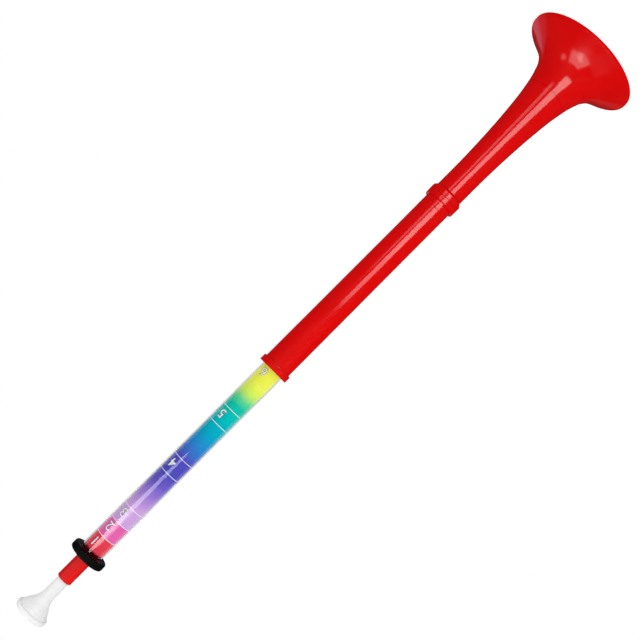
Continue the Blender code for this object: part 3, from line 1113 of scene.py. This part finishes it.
class MakeBumperRing(bpy.types.Operator):
    """Make the black rubber bumper ring"""

    bl_idname = "trumpet.make_bumper_ring"
    bl_label = "Bumper Ring"
    bl_options = {"REGISTER", "UNDO"}

    def execute(self, context):
        form = context.scene.trumpet_form
        tube_hole = CLEAR_RADIUS + SEAT_GAP
        receiver_hole = RECEIVER_RADIUS + SEAT_GAP
        web_foot = RING_TOP - RING_WEB
        corners = [
            (receiver_hole, web_foot, 0.0),
            (tube_hole, web_foot, 0.0),
            (tube_hole, RING_FOOT, form.edge_rounding),
            (RING_RADIUS, RING_FOOT, RING_ROUNDING),
            (RING_RADIUS, RING_TOP, RING_ROUNDING),
            (receiver_hole, RING_TOP, form.edge_rounding),
        ]
        piece = turned("bumper_ring_body", corners, "Black Rubber", form)
        settle(piece, "inner_slide", "black_rubber", "bumper_ring")
        return {"FINISHED"}


class MakeReceiver(bpy.types.Operator):
    """Make the red receiver that takes the mouthpiece"""

    bl_idname = "trumpet.make_receiver"
    bl_label = "Mouthpiece Receiver"
    bl_options = {"REGISTER", "UNDO"}

    def execute(self, context):
        form = context.scene.trumpet_form
        edge = form.edge_rounding
        socket_floor = SHANK_FOOT - SEAT_GAP
        corners = [
            (AIRWAY_RADIUS, PLUG_FOOT, edge),
            (REGISTER_RADIUS, PLUG_FOOT, edge),
            (REGISTER_RADIUS, PLUG_TOP, 0.0),
            (SPIGOT_RADIUS, PLUG_TOP, edge),
            (SPIGOT_RADIUS, DISC_FOOT, 0.0),
            (DISC_RADIUS, DISC_FOOT, edge),
            (DISC_RADIUS, DISC_TOP, edge),
            (RECEIVER_RADIUS, DISC_TOP, edge),
            (RECEIVER_RADIUS, RECEIVER_TOP, RECEIVER_ROUNDING),
            (SOCKET_RADIUS, RECEIVER_TOP, 0.5 * edge),
            (SOCKET_RADIUS, socket_floor, 0.0),
            (BACKBORE_RADIUS, socket_floor, 0.0),
            (BACKBORE_RADIUS, DISC_TOP, edge),
            (AIRWAY_RADIUS, DISC_FOOT, edge),
        ]
        piece = turned("receiver_shell", corners, "Satin Red Plastic", form)
        settle(piece, "inner_slide", "red_plastic", "mouthpiece_receiver")
        return {"FINISHED"}


class MakeMouthpiece(bpy.types.Operator):
    """Make the white mouthpiece with its cup, rim band and shank"""

    bl_idname = "trumpet.make_mouthpiece"
    bl_label = "Mouthpiece"
    bl_options = {"REGISTER", "UNDO"}

    cup_steps = 36
    bowl_steps = 24

    def execute(self, context):
        form = context.scene.trumpet_form
        edge = form.edge_rounding
        neck = MOUTH_TOP - NECK_DEPTH
        cup = MOUTH_TOP - CUP_DEPTH
        rim_inside = MOUTH_RADIUS - RIM_ROUNDING - RIM_FLAT
        corners = [
            (BACKBORE_RADIUS - SEAT_GAP, SHANK_FOOT, edge),
            (SHANK_TIP_RADIUS, SHANK_FOOT, 2.0 * edge),
            (SOCKET_RADIUS - SEAT_GAP, RECEIVER_TOP, 0.0),
        ]
        for share in spaced(0.0, 1.0, self.cup_steps):
            radius = NECK_RADIUS + (CUP_RADIUS - NECK_RADIUS) * smooth_value(CUP_CURVE, share)
            corners.append((radius, neck + (cup - neck) * share, 0.0))
        corners += [
            (BAND_FOOT_RADIUS, MOUTH_TOP - BAND_DEPTH, 0.0),
            (MOUTH_RADIUS, MOUTH_TOP - BAND_DEPTH, 2.0 * edge),
            (MOUTH_RADIUS, MOUTH_TOP, RIM_ROUNDING),
            (rim_inside, MOUTH_TOP, edge),
        ]
        for step in range(self.bowl_steps + 1):
            angle = math.radians(90.0 * step / self.bowl_steps)
            reach_in = THROAT_RADIUS + (BOWL_RADIUS - THROAT_RADIUS) * math.cos(angle)
            depth = RIM_ROUNDING + (BOWL_DEPTH - RIM_ROUNDING) * math.sin(angle)
            corners.append((reach_in, MOUTH_TOP - depth, 0.0))
        corners.append((THROAT_RADIUS, MOUTH_TOP - THROAT_DEPTH, 0.0))
        piece = turned("mouthpiece_shell", corners, "White Gloss Plastic", form)
        settle(piece, "mouthpiece", "white_plastic", "mouthpiece")
        return {"FINISHED"}


class MakeMaterials(bpy.types.Operator):
    """Make the shared effects and every finish"""

    bl_idname = "trumpet.make_materials"
    bl_label = "Finishes"
    bl_options = {"REGISTER", "UNDO"}

    def execute(self, context):
        make_materials(context.scene.trumpet_finish, context.scene.trumpet_form)
        return {"FINISHED"}


# A soft lamp: its turn round the axis (from the front towards +X), the distance from the axis and
# the height of its lower and upper ends, its width and its brightness. A highlight card is seen
# in gloss alone, and a fill lamp lights the colours alone. Some lamps light only one piece.
WHITE_LIGHT = (1.0, 1.0, 1.0)
CARD_LIGHT = (1.0, 0.97, 0.94)
LILAC_LIGHT = (0.80, 0.72, 1.0)
WARM_LIGHT = (1.0, 0.75, 0.6)
CLEAR_TUBE = "clear_tube_shell"
MOUTHPIECE = "mouthpiece_shell"
Lamp = namedtuple(
    "Lamp",
    "name turn near low far high width brightness colour shape gloss only",
    defaults=(CARD_LIGHT, "RECTANGLE", True, None),
)
LAMPS = (
    Lamp("bell_card_low", -15.0, 0.35, 0.001, 0.47, 0.085, 0.20, 4.6),
    Lamp("bell_card_middle", -15.0, 0.47, 0.085, 0.59, 0.170, 0.31, 5.0),
    Lamp("bell_card_high", -15.0, 0.59, 0.170, 0.72, 0.248, 0.34, 3.4),
    Lamp("strip_card_low", 19.0, 0.35, 0.001, 0.60, 0.022, 0.10, 2.0),
    Lamp("strip_card_high", 19.0, 0.60, 0.022, 1.25, 0.078, 0.21, 1.8),
    Lamp("back_left_card", 165.0, 0.90, 0.001, 0.90, 0.900, 0.55, 0.22, LILAC_LIGHT),
    Lamp("back_left_wide_card", 160.0, 0.90, 0.001, 0.90, 0.900, 0.73, 0.18, LILAC_LIGHT),
    Lamp("back_right_card", -155.0, 0.90, 0.001, 0.90, 0.200, 0.50, 0.08, WARM_LIGHT),
    Lamp("key_fill", -50.0, 1.20, 0.250, 1.20, 1.250, 1.00, 1.70, WHITE_LIGHT, gloss=False),
    Lamp("front_fill", 15.0, 1.20, 0.250, 1.20, 1.250, 1.00, 0.80, WHITE_LIGHT, gloss=False),
    Lamp(
        "slide_card_long", 15.0, 0.90, 0.620, 0.90, 0.900, 0.60, 5.5, WHITE_LIGHT, "ELLIPSE",
        only=CLEAR_TUBE,
    ),
    Lamp("slide_card_wide", 8.0, 0.90, 0.775, 0.90, 0.858, 0.90, 3.0, WHITE_LIGHT, only=CLEAR_TUBE),
    Lamp(
        "mouth_fill", 62.0, 1.20, 0.250, 1.20, 1.250, 1.00, 1.10, WHITE_LIGHT, gloss=False,
        only=MOUTHPIECE,
    ),
)
# Cards high over the trumpet, which the flare mirrors: place, width, length, roll, brightness
OVERHEAD_CARDS = (
    ("square_card", (0.149, -0.560, 1.383), 0.90, 0.84, -13.9, 2.5, "RECTANGLE"),
    ("bright_card", (0.106, -0.375, 1.458), 0.26, 0.44, -49.0, 2.6, "ELLIPSE"),
    ("small_card", (0.925, -0.531, 1.055), 0.40, 0.33, 11.0, 1.8, "ELLIPSE"),
    ("dim_card", (-0.518, -0.027, 1.407), 0.32, 0.65, -24.5, 0.2, "RECTANGLE"),
)
FLARE_FRONT = Vector((0.0, -0.04, 0.015))

# What the middle of the picture looks at, and the gap under the bell's rim
PICTURE_CENTRE = Vector((1.9 * MM, 0.0, 352.8 * MM))
FLOOR_GAP = 0.05 * MM


class MakeStage(bpy.types.Operator):
    """Make the pale floor, the white surroundings, the soft lamps and the camera"""

    bl_idname = "trumpet.make_stage"
    bl_label = "Stage"
    bl_options = {"REGISTER", "UNDO"}

    def execute(self, context):
        stage = context.scene.trumpet_stage
        self.make_floor(stage)
        self.make_surroundings(context.scene, stage)
        for lamp in LAMPS:
            self.make_lamp(lamp)
        for name, place, width, length, roll, brightness, shape in OVERHEAD_CARDS:
            card = self.add_area(name, width, length, brightness, CARD_LIGHT, shape, True)
            card.matrix_world = self.facing_flare(Vector(place), math.radians(roll))
        self.make_camera(context.scene, stage)
        context.scene.view_settings.view_transform = "Standard"
        return {"FINISHED"}

    def facing_flare(self, place, roll):
        """Pose of a card at a place that faces the front of the flare, rolled about that line."""
        away = (place - FLARE_FRONT).normalized()
        level = Vector((0.0, 0.0, 1.0)).cross(away).normalized()
        axes = Matrix((level, away.cross(level), away)).transposed().to_4x4()
        return Matrix.Translation(place) @ axes @ Matrix.Rotation(roll, 4, "Z")

    def background_level(self, tree, stage, place):
        """White to the camera and through clear plastic, dimmer in gloss, else none.

        What clear plastic mirrors inside its wall is white only behind the trumpet.
        """
        rays = add_node(tree, "ShaderNodeLightPath").outputs
        depth = add_node(tree, "ShaderNodeSeparateXYZ", inputs={0: place}).outputs["Y"]
        behind = calculate(tree, "GREATER_THAN", depth, 0.0)
        straight = calculate(tree, "LESS_THAN", rays["Glossy Depth"], 0.5)
        clear = calculate(tree, "MAXIMUM", straight, behind)
        through = calculate(tree, "MULTIPLY", rays["Is Transmission Ray"], clear)
        seen = calculate(tree, "MAXIMUM", rays["Is Camera Ray"], through)
        mirrored = calculate(tree, "MULTIPLY", rays["Is Glossy Ray"], stage.reflected_white)
        return calculate(tree, "MAXIMUM", seen, mirrored)

    def make_floor(self, stage):
        shape = bmesh.new()
        bmesh.ops.create_circle(shape, cap_ends=True, radius=stage.floor_radius, segments=96)
        mesh = bpy.data.meshes.new("floor")
        shape.to_mesh(mesh)
        shape.free()
        floor = bpy.data.objects.new("floor", mesh)
        floor.location.z = -FLOOR_GAP
        bpy.context.scene.collection.objects.link(floor)
        material = bpy.data.materials.new("Pale Floor")
        tree = new_tree(material)
        place = add_node(tree, "ShaderNodeNewGeometry").outputs["Position"]
        level = self.background_level(tree, stage, place)
        half_white = {"Color": (0.5, 0.5, 0.5, 1.0), "Strength": level}
        glow = add_node(tree, "ShaderNodeEmission", inputs=half_white)
        mirrored = add_node(tree, "ShaderNodeLightPath").outputs["Is Glossy Ray"]
        pale = (0.8, 0.8, 0.8, 1.0)
        dim = (0.02, 0.02, 0.02, 1.0)
        shade = blend_colours(tree, mirrored, pale, dim)
        matte = add_node(tree, "ShaderNodeBsdfDiffuse", inputs={"Color": shade})
        sum_of = {0: glow.outputs[0], 1: matte.outputs[0]}
        show(tree, add_node(tree, "ShaderNodeAddShader", inputs=sum_of))
        mesh.materials.append(material)

    def make_surroundings(self, scene, stage):
        world = bpy.data.worlds.new("White Surroundings")
        scene.world = world
        world.use_nodes = True
        tree = world.node_tree
        tree.nodes.clear()
        direction = add_node(tree, "ShaderNodeTexCoord").outputs["Generated"]
        level = self.background_level(tree, stage, direction)
        rays = add_node(tree, "ShaderNodeLightPath").outputs
        # The room is a little dimmer overhead
        height = add_node(tree, "ShaderNodeSeparateXYZ", inputs={0: direction}).outputs["Z"]
        overhead = calculate(tree, "MAXIMUM", height, 0.0)
        missing = stage.overhead_dimming * stage.ambient
        room = calculate(tree, "MULTIPLY_ADD", overhead, -missing, stage.ambient)
        lighting = calculate(tree, "MULTIPLY", rays["Is Diffuse Ray"], room)
        strength = calculate(tree, "MAXIMUM", level, lighting)
        backdrop = add_node(tree, "ShaderNodeBackground", inputs={"Strength": strength})
        backdrop.inputs["Color"].default_value = (1.0, 1.0, 1.0, 1.0)
        output = add_node(tree, "ShaderNodeOutputWorld")
        tree.links.new(backdrop.outputs[0], output.inputs["Surface"])

    def add_area(self, name, width, length, brightness, colour, shape, gloss):
        light = bpy.data.lights.new(name, "AREA")
        light.shape = shape
        light.size = width
        light.size_y = length
        light.color = colour
        area = width * length * (1.0 if shape == "RECTANGLE" else math.pi / 4.0)
        light.energy = brightness * math.pi * area
        lamp = bpy.data.objects.new(name, light)
        lamp.visible_camera = False
        lamp.visible_glossy = gloss
        lamp.visible_diffuse = not gloss
        lamp.visible_transmission = False
        bpy.context.scene.collection.objects.link(lamp)
        return lamp

    def make_lamp(self, lamp):
        lower = Vector((lamp.near, lamp.low))
        upper = Vector((lamp.far, lamp.high))
        length = (upper - lower).length
        light = self.add_area(
            lamp.name, lamp.width, length, lamp.brightness, lamp.colour, lamp.shape, lamp.gloss
        )
        angle = math.radians(lamp.turn)
        outward = Vector((math.sin(angle), -math.cos(angle), 0.0))
        middle = (lower + upper) / 2.0
        along = outward * (upper.x - lower.x) + Vector((0.0, 0.0, upper.y - lower.y))
        along.normalize()
        sideways = Vector((math.cos(angle), math.sin(angle), 0.0))
        # Local Z points away from the trumpet, since an area lamp shines along its own -Z
        away = sideways.cross(along)
        axes = Matrix((sideways, along, away)).transposed().to_4x4()
        place = outward * middle.x + Vector((0.0, 0.0, middle.y))
        light.matrix_world = Matrix.Translation(place) @ axes
        if lamp.only:
            lit = bpy.data.collections.new(lamp.name + "_receiver")
            lit.objects.link(bpy.data.objects[lamp.only])
            light.light_linking.receiver_collection = lit

    def make_camera(self, scene, stage):
        lens = bpy.data.cameras.new("camera")
        lens.sensor_width = 36.0
        lens.lens = stage.lens_length
        lens.clip_start = 0.01
        camera = bpy.data.objects.new("camera", lens)
        eye = Vector((0.0, -stage.camera_distance, stage.camera_height))
        forward = (PICTURE_CENTRE - eye).normalized()
        right = forward.cross(Vector((0.0, 0.0, 1.0))).normalized()
        up = right.cross(forward)
        cosine = math.cos(stage.camera_roll)
        sine = math.sin(stage.camera_roll)
        across = -sine * right - cosine * up
        upward = cosine * right - sine * up
        turned_axes = Matrix((across, upward, -forward)).transposed()
        camera.matrix_world = Matrix.Translation(eye) @ turned_axes.to_4x4()
        scene.collection.objects.link(camera)
        scene.camera = camera


STEPS = (
    MakeMaterials,
    MakeBell,
    MakeCollars,
    MakeOuterTube,
    FinishHiddenParts,
    MakeSlideHead,
    MakeClearTube,
    MakeScaleFilm,
    MakeBumperRing,
    MakeReceiver,
    MakeMouthpiece,
    MakeStage,
)


class TrumpetPanel(bpy.types.Panel):
    """Sidebar panel that lists the trumpet's sizes, finishes and steps"""

    bl_idname = "VIEW3D_PT_trumpet"
    bl_label = "Slide Trumpet"
    bl_space_type = "VIEW_3D"
    bl_region_type = "UI"
    bl_category = "Trumpet"

    def draw(self, context):
        for group in (
            context.scene.trumpet_form,
            context.scene.trumpet_finish,
            context.scene.trumpet_stage,
        ):
            box = self.layout.box()
            for key in group.bl_rna.properties.keys():
                if key not in ("rna_type", "name"):
                    box.prop(group, key)
        for step in STEPS:
            self.layout.operator(step.bl_idname)


GROUPS = {
    "trumpet_form": TrumpetForm,
    "trumpet_finish": TrumpetFinish,
    "trumpet_stage": TrumpetStage,
}


def register():
    for group in GROUPS.values():
        bpy.utils.register_class(group)
    for step in STEPS:
        bpy.utils.register_class(step)
    bpy.utils.register_class(TrumpetPanel)
    for name, group in GROUPS.items():
        setattr(bpy.types.Scene, name, bpy.props.PointerProperty(type=group))


def unregister():
    for name in GROUPS:
        delattr(bpy.types.Scene, name)
    bpy.utils.unregister_class(TrumpetPanel)
    for step in reversed(STEPS):
        bpy.utils.unregister_class(step)
    for group in reversed(list(GROUPS.values())):
        bpy.utils.unregister_class(group)


def main():
    """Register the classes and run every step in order."""
    register()
    for step in STEPS:
        family, action = step.bl_idname.split(".")
        getattr(getattr(bpy.ops, family), action)()


if __name__ == "__main__":
    main()
